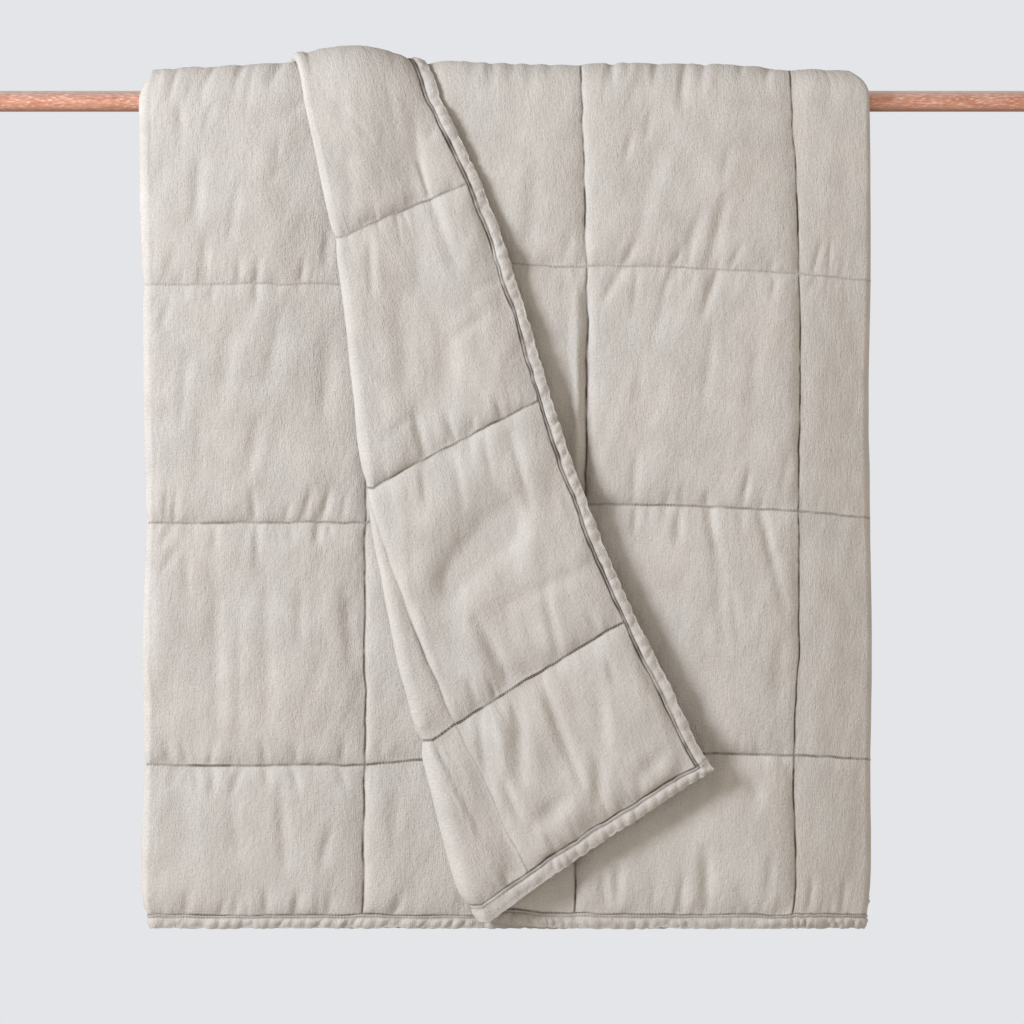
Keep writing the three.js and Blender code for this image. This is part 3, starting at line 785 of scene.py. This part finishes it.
def new_mesh(name, points, faces, uv=None, values=None, smooth_shaded=True):
    """A mesh object from points in millimetres and faces of one size, with a UV map and named values."""
    mesh = bpy.data.meshes.new(name)
    count, corners = faces.shape
    mesh.vertices.add(len(points))
    mesh.vertices.foreach_set("co", (points * MM).astype(np.float32).ravel())
    mesh.loops.add(count * corners)
    mesh.loops.foreach_set("vertex_index", faces.astype(np.int32).ravel())
    mesh.polygons.add(count)
    mesh.polygons.foreach_set("loop_start", np.arange(0, count * corners, corners, dtype=np.int32))
    mesh.polygons.foreach_set("use_smooth", np.full(count, smooth_shaded))
    if uv is not None:
        layer = mesh.uv_layers.new(name="cloth")
        layer.data.foreach_set("uv", (uv[faces.ravel()] * MM).astype(np.float32).ravel())
    for key, value in (values or {}).items():
        attribute = mesh.attributes.new(key, "FLOAT", "POINT")
        attribute.data.foreach_set("value", value.astype(np.float32).ravel())
    mesh.update()
    mesh.validate()
    made = bpy.data.objects.new(name, mesh)
    bpy.context.scene.collection.objects.link(made)
    return made


def grid_faces(rows, columns, flip=False):
    """The quads of a grid, facing the way that across crossed with up points, or the other way if flipped."""
    index = np.arange(rows * columns).reshape(rows, columns)
    quads = np.stack([index[:-1, :-1], index[:-1, 1:], index[1:, 1:], index[1:, :-1]], axis=-1).reshape(-1, 4)
    return quads[:, ::-1] if flip else quads


def run_lines():
    """The runs of the grid's rows between the two end hems: finer in front than behind."""
    made = []
    for low, high in zip(ROW_SEAMS[:-1], ROW_SEAMS[1:]):
        pitch = FRONT_PITCH if high < FRONT_DROP + OVER_ROD else BACK_PITCH
        made.append(low + (high - low) * lines(high - low, pitch))
    made.append(ROW_SEAMS[-1:])
    return np.concatenate(made)


def linen_face(name, face):
    """One linen face of the quilt: the middle sheet moved out by the face's height along its normals."""
    runs = run_lines()
    points, box, room = mid_sheet(runs, {**column_lines(face), "flap_hem": [0]})
    u, v = box * BOX_WIDTH, np.broadcast_to(runs[:, None], box.shape)
    side = 1 if face == 0 else -1
    points, normal = swayed(points, u, v)
    points = points + side * normal * face_height(points, box, v, room, face)[..., None]
    from_seam, line, along = seam_line(u, v)
    values = {"from_seam": from_seam, "seam_line": line, "along": along * MM, "across": rightward(u) * MM}
    flat_uv = np.stack([u, v], axis=-1).reshape(-1, 2)
    faces = grid_faces(*box.shape, flip=face == 1)
    return new_mesh(name, points.reshape(-1, 3), faces, flat_uv, values)


# The turned hem's half thickness by distance out from its seam. A thin bead lies between seam and roll.
HEM_PROFILE = table(
    "out half",
    (0, 0.6), (0.7, 1.4), (1.4, 1.7), (2.1, 1.3), (2.8, 0.6), (3.5, 1.8), (4.8, 3),
    (6.5, 3.5), (8.6, 3.3), (10.6, 2.6), (12.2, 1.7), (13.4, 0.8), (14, 0.3),
)
hem_half = curve(HEM_PROFILE, "out", "half")
SECOND_LINE = 2.8
PUFF_WIDTH = 13
# How dark the hem's stitch lines are painted at the ends, at the flap's end and at the sides: needle holes
# and painted shade in their grooves
HEM_LINE = {"end": 0.5, "end of flap": 0.58, "side": 1.1}
HEM_FINE = 1.9
HEM_COARSE = 5


def shell(points, half):
    """A closed skin round a grid of middle points: both faces, half a thickness off, joined by a rim."""
    rows, columns = half.shape
    off = ways_of(points)[2] * half[..., None]
    both = np.concatenate([(points + off).reshape(-1, 3), (points - off).reshape(-1, 3)])
    index = np.arange(rows * columns).reshape(rows, columns)
    loop = np.concatenate([index[0, :-1], index[:-1, -1], index[-1, :0:-1], index[:0:-1, 0]])
    after = np.roll(loop, -1)
    under = rows * columns
    rim = np.stack([after, loop, loop + under, after + under], axis=-1)
    faces = np.concatenate([grid_faces(rows, columns), grid_faces(rows, columns, flip=True) + under, rim])
    return both, faces


def hem_strip(runs, shares):
    """A stretch of hem: the middle sheet with the hem's profile by distance out from its seam, crumpled."""
    points, box, room = mid_sheet(runs, shares)
    u, v = box * BOX_WIDTH, np.broadcast_to(np.asarray(runs, float)[:, None], box.shape)
    past_side = np.maximum(-u, u - COLUMN_SEAMS[-1])
    past_end = np.maximum(HEM - v, v - TOTAL_RUN + HEM)
    out = np.clip(np.maximum(past_side, past_end), 0, HEM)
    along = np.where(past_side > past_end, v, u)
    points, normal = swayed(points, u, v)
    roll = smooth((out - 2.6) / 3)
    creases = pinches(along + 0.9 * out, out, 14, 40, 0.28, 31)
    creases = creases + 0.8 * pinches(along - 0.8 * out, out, 19, 40, 0.24, 32)
    corner = np.where(np.minimum(past_side, past_end) > 0, np.exp(-(((past_side - past_end) / 1.6) ** 2)), 0)
    beat = along + 0.35 * out + 7 * ripples(along, out, 34, 40, 34)
    puffs = np.abs(np.sin(math.pi * beat / PUFF_WIDTH)) ** 0.6 * (0.8 + 0.3 * ripples(along, out, 17, 40, 37))
    half = hem_half(out) * (1 - 0.42 * roll * (1 - 1.5 * puffs)) - roll * (1.3 * creases + 1.6 * corner)
    half = np.minimum(np.maximum(half, LEAST_HALF), FOLD_SHARE * room)
    sway = roll * (1.1 * ripples(along, out, 26, 40, 33) + 0.7 * ripples(along, out, 9, 40, 35))
    off_side = np.sign(u - 1)[..., None] * ways_of(points)[0]
    off_end = np.sign(v - HEM - 1)[..., None] * ways_of(points)[1]
    outward = np.where(past_side[..., None] > past_end[..., None], off_side, off_end)
    scallop = (out / HEM) ** 2 * (1.2 * puffs - 0.9 * creases)
    points = points + normal * sway[..., None] + outward * scallop[..., None]
    both, faces = shell(points, half)
    uv = np.stack([u, v], axis=-1).reshape(-1, 2)
    # The stitch lines' painted darkness: needle holes and painted shade in their grooves, uneven along them.
    on_end = np.where(u > FLAP_TURN, HEM_LINE["end of flap"], HEM_LINE["end"])
    depth = np.where(past_side > past_end, HEM_LINE["side"], on_end)
    depth = depth * (1 + 0.5 * ripples(along, out, 23, 40, 53) + 0.4 * ripples(along, out, 7, 40, 54))
    line = np.minimum(out, np.abs(out - SECOND_LINE) + 0.6)
    stitched = np.where((past_side < past_end) & (u < FLAP_TURN), along, STITCH_PITCH / 4)
    values = np.stack([line, depth, stitched * MM, rightward(u) * MM], axis=-1).reshape(-1, 4)
    return both, faces, np.concatenate([uv, uv]), np.concatenate([values, values])


def joined(parts):
    """Several (points, faces, ...) lots as one, with the faces' numbers moved on."""
    starts = np.cumsum([0] + [len(part[0]) for part in parts[:-1]])
    faces = np.concatenate([part[1] + start for part, start in zip(parts, starts)])
    others = [np.concatenate([part[k] for part in parts]) for k in range(len(parts[0])) if k != 1]
    return others[0], faces, *others[1:]


def hem():
    """The turned hem all round the quilt: an end strip in front and behind, and a strip along each side."""
    across_hem = HEM_PROFILE["out"] / HEM
    end_shares = {}
    for name, (low, high, *_) in STRETCHES.items():
        if name.endswith("hem"):
            end_shares[name] = 1 - across_hem[::-1] if name == "inner_hem" else across_hem
            end_shares[name] = end_shares[name][:-1] if name == "inner_hem" else end_shares[name]
        else:
            shows = name not in ("inner_1", "inner_2", "inner_3", "middle_3", "middle_4")
            count = max(round((high - low) * BOX_WIDTH / (HEM_FINE if shows else HEM_COARSE)), 6)
            end_shares[name] = np.arange(count) / count
    hidden_runs = np.linspace(HEM, TOTAL_RUN - HEM, round(TOTAL_RUN / HEM_COARSE))
    flap_runs = np.concatenate([np.arange(HEM, FRONT_DROP, HEM_FINE), hidden_runs[hidden_runs > FRONT_DROP]])
    front_runs = HEM - HEM_PROFILE["out"][::-1]
    back_runs = TOTAL_RUN - HEM + HEM_PROFILE["out"]
    parts = [
        hem_strip(front_runs, end_shares),
        hem_strip(back_runs, end_shares),
        hem_strip(hidden_runs, {"inner_hem": 1 - across_hem[::-1]}),
        hem_strip(flap_runs, {"flap_hem": across_hem}),
    ]
    points, faces, uv, values = joined(parts)
    values = dict(zip(("from_seam", "seam_line", "along", "across"), values.T))
    return new_mesh("quilt_hem", points, faces, uv, values)


STITCH = np.array([[-1, 0, 0], [1, 0, 0], [0, -1, 0], [0, 1, 0], [0, 0, -1], [0, 0, 1]], float)
STITCH_FACES = np.array([
    [0, 2, 5], [2, 1, 5], [1, 3, 5], [3, 0, 5],
    [2, 0, 4], [1, 2, 4], [3, 1, 4], [0, 3, 4],
])
STITCH_LENGTH = 2.3
STITCH_THICKNESS = 0.8


def stitches(name, centres, along, normal, length, thick):
    """Many stitches as one mesh: a small pointed bead at each centre, its long way along the seam."""
    across = np.cross(normal, along)
    axes = np.stack([along * length / 2, across * thick / 2, normal * thick / 2], axis=1)
    points = centres[:, None, :] + np.einsum("pk,nkc->npc", STITCH, axes)
    faces = STITCH_FACES[None] + len(STITCH) * np.arange(len(centres))[:, None, None]
    return new_mesh(name, points.reshape(-1, 3), faces.reshape(-1, 3))


def row_stitches():
    """A stitch every few millimetres along each row seam, on both faces."""
    lots = []
    for run in ROW_SEAMS[1:-1]:
        shares = {}
        for stretch in BODY:
            low, high, *_ = STRETCHES[stretch]
            count = max(round((high - low) * BOX_WIDTH / STITCH_PITCH), 3)
            shares[stretch] = (np.arange(count) + 0.5) / count
        points, box, room = mid_sheet([run - 1, run, run + 1], shares)
        v = np.full(box.shape, run)
        points, normals = swayed(points, box * BOX_WIDTH, v)
        normal = normals[1]
        along = np.gradient(points[1], axis=0)
        along /= np.linalg.norm(along, axis=-1, keepdims=True)
        for face, side in ((0, 1), (1, -1)):
            half = face_height(points, box, v, room, face)[1][:, None]
            lots.append((points[1] + side * normal * half, along, side * normal))
    centres, along, normal = (np.concatenate(group) for group in zip(*lots))
    return stitches("row_stitches", centres, along, normal, STITCH_LENGTH, STITCH_THICKNESS)


def add_node(tree, kind, inputs=None, **settings):
    """A node with its settings, and its inputs set to values or linked from sockets."""
    node = tree.nodes.new(kind)
    for key, value in settings.items():
        setattr(node, key, value)
    for key, value in (inputs or {}).items():
        if isinstance(value, bpy.types.NodeSocket):
            tree.links.new(value, node.inputs[key])
        else:
            node.inputs[key].default_value = value
    return node


def srgb(code):
    """The linear colour of a six-figure sRGB hex value."""
    values = [int(code[i:i + 2], 16) / 255 for i in (0, 2, 4)]
    return (*(v / 12.92 if v <= 0.04045 else ((v + 0.055) / 1.055) ** 2.4 for v in values), 1.0)


def new_material(name):
    """An empty node material with its Principled shader joined to the output."""
    material = bpy.data.materials.new(name)
    material.use_nodes = True
    tree = material.node_tree
    tree.nodes.clear()
    shader = add_node(tree, "ShaderNodeBsdfPrincipled")
    add_node(tree, "ShaderNodeOutputMaterial", {"Surface": shader.outputs[0]})
    return material, tree, shader


def stonewashed_linen(name, warm, grey, deep):
    """Stonewashed linen: matte, with a fine nap, soft mottling brushed up the cloth, needle lines in painted
    shade.
    """
    material, tree, shader = new_material(name)

    def attribute(name):
        return add_node(tree, "ShaderNodeAttribute", attribute_name=name).outputs["Fac"]

    def math_node(operation, a, b=0.0, clamp=False):
        return add_node(tree, "ShaderNodeMath", {0: a, 1: b}, operation=operation, use_clamp=clamp).outputs[0]

    cloth = add_node(tree, "ShaderNodeUVMap", uv_map="cloth").outputs[0]
    run = add_node(tree, "ShaderNodeSeparateXYZ", {0: cloth}).outputs["Y"]
    place = add_node(tree, "ShaderNodeCombineXYZ", {"X": attribute("across"), "Y": run}).outputs[0]

    def noise(size_across_mm, size_up_mm, lean=0.0, detail=2.0):
        placed = add_node(tree, "ShaderNodeMapping", {
            "Vector": place,
            "Rotation": (0, 0, math.radians(lean)),
            "Scale": (1000 / size_across_mm, 1000 / size_up_mm, 1),
        }, vector_type="POINT").outputs[0]
        inputs = {"Vector": placed, "Scale": 1.0, "Detail": detail}
        return add_node(tree, "ShaderNodeTexNoise", inputs).outputs[0]

    def steps(value, low, high):
        return add_node(tree, "ShaderNodeMapRange", {0: value, 1: low, 2: high, 3: 0.0, 4: 1.0}).outputs[0]

    def blend(factor, a, b):
        return add_node(tree, "ShaderNodeMix", {0: factor, 6: a, 7: b}, data_type="RGBA").outputs[2]

    patch = noise(24, 40, 0, 2.0)
    mottle = noise(5, 9, 0, 3.0)
    nap = noise(1.9, 2.4, 0, 3.0)
    # The real weave is finer than a picture's point; this one is drawn at 1.3 mm
    warp = noise(1.3, 7, 0, 1.0)
    weft = noise(7, 1.3, 0, 1.0)
    brushed = noise(3, 16, 12, 2.0)

    colour = blend(steps(noise(70, 95, 0, 2.0), 0.36, 0.62), srgb(warm), srgb(grey))
    uneven = math_node("ADD", math_node("MULTIPLY", patch, 0.45), math_node("MULTIPLY", nap, 0.55))
    colour = blend(steps(uneven, 0.32, 0.66), srgb(deep), colour)
    # Painted shade: a band about 2 mm each side of every seam and hem stitch line is darkened towards 4E443B,
    # for the needle holes and for the shade that falls in their grooves.
    line = math_node("SUBTRACT", 1.0, math_node("DIVIDE", attribute("from_seam"), 2.0), True)
    beat = math_node("SINE", math_node("MULTIPLY", attribute("along"), 2 * math.pi / (STITCH_PITCH * MM)))
    needled = math_node("ADD", 0.83, math_node("MULTIPLY", beat, 0.2))
    depth = math_node("MULTIPLY", line, math_node("MULTIPLY", attribute("seam_line"), needled), True)
    colour = blend(depth, colour, srgb("4E443B"))
    tree.links.new(colour, shader.inputs["Base Color"])
    shader.inputs["Roughness"].default_value = 0.95
    shader.inputs["Specular IOR Level"].default_value = 0.2
    shader.inputs["Sheen Weight"].default_value = 0.08
    shader.inputs["Sheen Roughness"].default_value = 0.6

    def bump(height, depth_mm, under=None):
        inputs = {"Strength": 1.0, "Distance": depth_mm * MM, "Height": height}
        if under is not None:
            inputs["Normal"] = under
        return add_node(tree, "ShaderNodeBump", inputs).outputs[0]

    relief = bump(mottle, 0.75)
    relief = bump(brushed, 0.25, relief)
    relief = bump(nap, 0.52, relief)
    relief = bump(math_node("ADD", warp, weft), 0.34, relief)
    tree.links.new(relief, shader.inputs["Normal"])
    return material


def linen_thread():
    """Spun linen sewing thread: the colour of the cloth, matte."""
    material, _, shader = new_material("linen thread")
    shader.inputs["Base Color"].default_value = srgb("B5ABA0")
    shader.inputs["Roughness"].default_value = 0.8
    return material


def scoured_copper():
    """Scoured copper tube: warm metal blotched by handling, a painted reflection along the top, painted shade
    below.
    """
    material, tree, shader = new_material("scoured copper")
    place = add_node(tree, "ShaderNodeTexCoord").outputs["Object"]

    def noise(size_along_mm, size_round_mm, detail):
        scale = (1000 / size_along_mm, 1000 / size_round_mm, 1000 / size_round_mm)
        placed = add_node(tree, "ShaderNodeMapping", {"Vector": place, "Scale": scale}).outputs[0]
        inputs = {"Vector": placed, "Scale": 1.0, "Detail": detail}
        return add_node(tree, "ShaderNodeTexNoise", inputs).outputs[0]

    def blend(factor, a, b):
        return add_node(tree, "ShaderNodeMix", {0: factor, 6: a, 7: b}, data_type="RGBA").outputs[2]

    def steps(value, low, high):
        return add_node(tree, "ShaderNodeMapRange", {0: value, 1: low, 2: high, 3: 0.0, 4: 1.0}).outputs[0]

    blotches, streaks = noise(26, 5, 3.0), noise(7, 1.6, 3.0)
    colour = blend(steps(blotches, 0.35, 0.65), srgb("DF9C80"), srgb("EDB49B"))
    colour = blend(steps(streaks, 0.52, 0.68), colour, srgb("F7D8C8"))
    height = add_node(tree, "ShaderNodeSeparateXYZ", {0: place}).outputs["Z"]
    # Painted shade: the underside darkens towards A98A7B from 6 mm below the axis down to the bottom.
    colour = blend(steps(height, -0.006, -0.0115), colour, srgb("A98A7B"))
    # Painted reflection: the top pales towards FBE3D9 from 3 mm above the axis upwards.
    colour = blend(steps(height, 0.003, 0.010), colour, srgb("FBE3D9"))
    tree.links.new(colour, shader.inputs["Base Color"])
    shader.inputs["Metallic"].default_value = 1.0
    tree.links.new(steps(streaks, -0.6, 1.5), shader.inputs["Roughness"])
    scratches = {"Strength": 1.0, "Distance": 0.4 * MM, "Height": streaks}
    relief = add_node(tree, "ShaderNodeBump", scratches).outputs[0]
    tree.links.new(relief, shader.inputs["Normal"])
    return material


def set_material(piece, material):
    """The piece's only material."""
    piece.data.materials.clear()
    piece.data.materials.append(material)


# The photograph's frame: its middle and width, at the cloth's face in front of the rod
FRAME_MIDDLE_X = 4.77 * MM
FRAME_MIDDLE_Z = -435.9 * MM
FRAME_WIDTH = 1085.4 * MM
CLOTH_FACE_Y = -0.018
CAMERA_DISTANCE = 14.0
SENSOR = 36


def camera():
    """A long-lens camera square to the quilt, framing the photograph's square."""
    data = bpy.data.cameras.new("camera")
    data.sensor_width = SENSOR
    data.lens = SENSOR * (CAMERA_DISTANCE + CLOTH_FACE_Y) / FRAME_WIDTH
    made = bpy.data.objects.new("camera", data)
    made.location = (FRAME_MIDDLE_X, -CAMERA_DISTANCE, FRAME_MIDDLE_Z)
    made.rotation_euler = (math.radians(90), 0, 0)
    bpy.context.scene.collection.objects.link(made)
    bpy.context.scene.camera = made


def lamp(name, place, aim, size, power, colour="FFFFFF"):
    """A square soft lamp at a place, turned to face a point."""
    data = bpy.data.lights.new(name, "AREA")
    data.size = size
    data.energy = power
    data.color = srgb(colour)[:3]
    made = bpy.data.objects.new(name, data)
    place, aim = np.array(place), np.array(aim)
    back = (place - aim) / np.linalg.norm(place - aim)
    made.location = place
    made.rotation_euler = (math.acos(back[2]), 0, math.atan2(back[1], back[0]) + math.pi / 2)
    made.visible_camera = False
    bpy.context.scene.collection.objects.link(made)


def surround():
    """An even pale surround for the camera. The cloth is lit by a warmer one, most from the left."""
    world = bpy.data.worlds.new("studio")
    world.use_nodes = True
    tree = world.node_tree
    tree.nodes.clear()
    direction = add_node(tree, "ShaderNodeTexCoord").outputs["Generated"]
    way = add_node(tree, "ShaderNodeSeparateXYZ", {0: direction})
    left_to_right = {0: way.outputs["X"], 1: -1.0, 2: 1.0, 3: 0.82, 4: 0.46}
    across = add_node(tree, "ShaderNodeMapRange", left_to_right).outputs[0]
    steep = add_node(tree, "ShaderNodeMath", {0: way.outputs["Z"]}, operation="ABSOLUTE").outputs[0]
    level = add_node(tree, "ShaderNodeMapRange", {0: steep, 1: 0.15, 2: 1.0, 3: 1.0, 4: 0.8}).outputs[0]
    strength = add_node(tree, "ShaderNodeMath", {0: across, 1: level}, operation="MULTIPLY").outputs[0]
    light = add_node(tree, "ShaderNodeBackground", {"Color": srgb("EDE6DE"), "Strength": strength}).outputs[0]
    seen = add_node(tree, "ShaderNodeBackground", {"Color": srgb("E4E5E8"), "Strength": 1.0}).outputs[0]
    from_camera = add_node(tree, "ShaderNodeLightPath").outputs["Is Camera Ray"]
    both = add_node(tree, "ShaderNodeMixShader", {0: from_camera, 1: light, 2: seen}).outputs[0]
    add_node(tree, "ShaderNodeOutputWorld", {"Surface": both})
    bpy.context.scene.world = world


FLOOR_REACH = 2.6
FLOOR_HEIGHT = -1500


def studio():
    """A pale floor, a pale surround, a soft key lamp low on the left and a weak fill from the right."""
    bpy.context.scene.view_settings.view_transform = "Standard"
    surround()
    corners = np.array([[-1, -1], [1, -1], [1, 1], [-1, 1]]) * FLOOR_REACH / MM
    points = np.column_stack([corners, np.full(len(corners), FLOOR_HEIGHT)])
    floor = new_mesh("floor", points, np.array([[0, 1, 2, 3]]))
    material, _, shader = new_material("pale floor")
    shader.inputs["Base Color"].default_value = srgb("CBC6BF")
    shader.inputs["Roughness"].default_value = 0.9
    set_material(floor, material)
    lamp("key", (-2.95, -1.95, 0.75), (0, 0, -0.4), 1.0, 176, "EEF4FF")
    lamp("fill", (2.9, -1.05, 0.3), (0, 0, -0.5), 1.6, 20, "FFF6EC")


camera()
studio()
# Painted light and shade: both faces are the same linen, but the top face, which shows on the right, is given
# paler colours and the back face, which shows on the left and on the flap nearest the lamp, darker ones,
# evening out the lamp's fall across the quilt.
back_linen = stonewashed_linen("stonewashed linen", "C2BBB2", "C0BBB4", "AFA8A0")
top_linen = stonewashed_linen("paler stonewashed linen", "C7C0B7", "C4C0B9", "B3ACA4")
back_face = linen_face("quilt_back", 0)
top_face = linen_face("quilt_top", 1)
edge = hem()
thread = row_stitches()
for piece, linen in ((back_face, back_linen), (top_face, top_linen), (edge, back_linen)):
    set_material(piece, linen)
set_material(thread, linen_thread())
set_material(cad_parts["copper_rod"], scoured_copper())
for piece in (back_face, top_face, edge, thread):
    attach(piece, "root")
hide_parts("quilt")
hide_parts("quilt")
